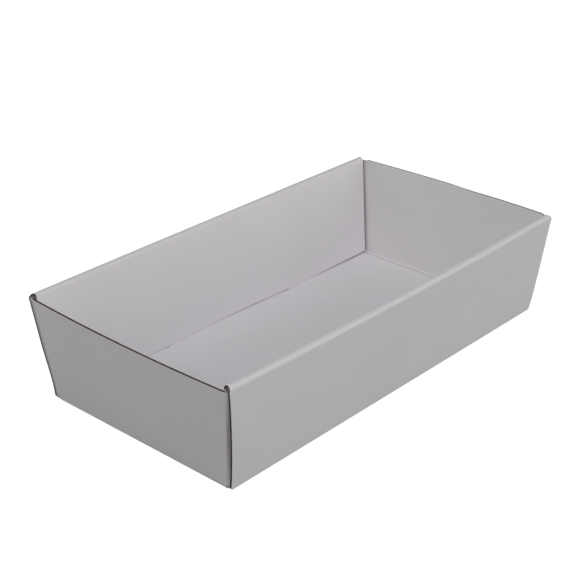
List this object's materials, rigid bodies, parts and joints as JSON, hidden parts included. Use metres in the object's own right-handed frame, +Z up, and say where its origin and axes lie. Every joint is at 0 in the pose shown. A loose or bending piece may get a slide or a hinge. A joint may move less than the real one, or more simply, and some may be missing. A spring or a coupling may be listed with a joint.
{
  "type": "self locking carton tray",
  "caption": "Open white corrugated tray, die cut in one piece, with rolled-over long walls that lock into slots in the floor.",
  "frame": {"origin": "middle of the underside of the floor", "axes": "+X along the tray's long side, +Y across it, +Z up out of the open top"},
  "size_m": [0.3476, 0.1887, 0.08],
  "materials": {
    "board": "matte"
  },
  "bodies": {
    "root": {"folded_tray": "board"}
  },
  "joints": []
}
